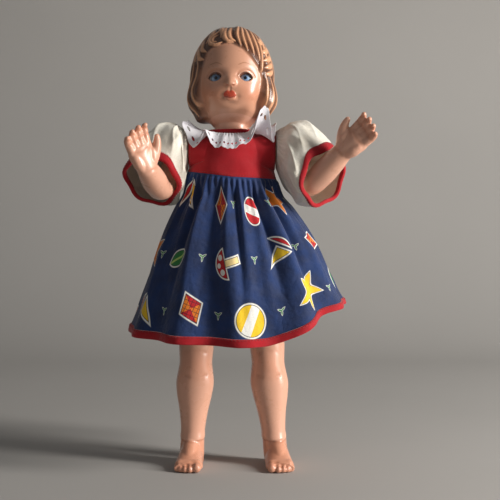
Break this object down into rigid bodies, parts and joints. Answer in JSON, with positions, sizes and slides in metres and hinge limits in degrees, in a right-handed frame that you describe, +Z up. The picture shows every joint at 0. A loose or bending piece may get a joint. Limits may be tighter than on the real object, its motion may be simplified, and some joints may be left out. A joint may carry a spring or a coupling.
{
  "type": "plastic doll",
  "caption": "Strung plastic doll with moulded hair, weighted sleeping eyes, turning head, swinging arms and legs, and a gathered cotton dress with an eyelet collar.",
  "frame": {"origin": "on the floor that the soles stand on, under the middle of the whole figure", "axes": "+Z up, -Y the way the doll faces, +X to the doll's left"},
  "size_m": [0.2534, 0.1943, 0.453],
  "materials": {
    "moulded_plastic": "satin",
    "eye_white": "gloss",
    "iris": "gloss",
    "wire": "satin",
    "eye_weight": "matte",
    "elastic": "matte",
    "red_cotton": "matte",
    "white_cotton": "matte",
    "eyelet_lace": "matte",
    "printed_cotton": "matte",
    "buttons": "satin"
  },
  "bodies": {
    "torso": {"torso_shell": "moulded_plastic", "arm_elastic": "elastic", "left_leg_elastic": "elastic", "right_leg_elastic": "elastic", "bodice_front": "red_cotton", "bodice_back_left": "red_cotton", "bodice_back_right": "red_cotton", "back_buttons": "buttons", "neck_binding": "red_cotton", "collar_ruffle": "eyelet_lace", "left_sleeve": "white_cotton", "right_sleeve": "white_cotton", "left_sleeve_binding": "red_cotton", "right_sleeve_binding": "red_cotton", "skirt": "printed_cotton", "hem_binding": "red_cotton"},
    "neck": {"neck_hook": "wire"},
    "head": {"head_shell": "moulded_plastic", "eye_bridge": "wire"},
    "eyes": {"left_eyeball": "eye_white", "right_eyeball": "eye_white", "left_iris": "iris", "right_iris": "iris", "eye_axle": "wire", "eye_weight": "eye_weight"},
    "left_arm": {"left_arm": "moulded_plastic", "left_arm_hook": "wire"},
    "right_arm": {"right_arm": "moulded_plastic", "right_arm_hook": "wire"},
    "left_leg": {"left_leg": "moulded_plastic", "left_leg_hook": "wire"},
    "right_leg": {"right_leg": "moulded_plastic", "right_leg_hook": "wire"}
  },
  "joints": [
    {"name": "neck_turn", "type": "hinge", "parent": "torso", "child": "neck", "pos_m": [-0.015, 0, 0.346], "axis": [0, 0, 1], "range_deg": [-80, 80], "deforming": ["collar_ruffle", "left_leg_elastic", "right_leg_elastic"]},
    {"name": "neck_tilt", "type": "hinge", "parent": "neck", "child": "head", "pos_m": [-0.015, 0, 0.346], "axis": [0.9986, -0.0523, 0], "range_deg": [-6, 18], "deforming": ["collar_ruffle"]},
    {"name": "eye_sleep", "type": "hinge", "parent": "head", "child": "eyes", "pos_m": [-0.01603, -0.01955, 0.39355], "axis": [0.9986, -0.0523, 0], "range_deg": [0, 80]},
    {"name": "left_shoulder", "type": "hinge", "parent": "torso", "child": "left_arm", "pos_m": [0.037, 0.006, 0.326], "axis": [-1, 0, 0], "range_deg": [-50, 140], "deforming": ["arm_elastic", "left_sleeve", "left_sleeve_binding"]},
    {"name": "right_shoulder", "type": "hinge", "parent": "torso", "child": "right_arm", "pos_m": [-0.067, 0.006, 0.326], "axis": [-1, 0, 0], "range_deg": [-50, 140], "deforming": ["arm_elastic", "right_sleeve", "right_sleeve_binding"]},
    {"name": "left_hip", "type": "hinge", "parent": "torso", "child": "left_leg", "pos_m": [0.0195, 0.002, 0.19], "axis": [-1, 0, 0], "range_deg": [-20, 90], "deforming": ["left_leg_elastic", "skirt", "hem_binding"]},
    {"name": "right_hip", "type": "hinge", "parent": "torso", "child": "right_leg", "pos_m": [-0.0495, 0.002, 0.19], "axis": [-1, 0, 0], "range_deg": [-20, 90], "deforming": ["right_leg_elastic", "skirt", "hem_binding"]}
  ]
}
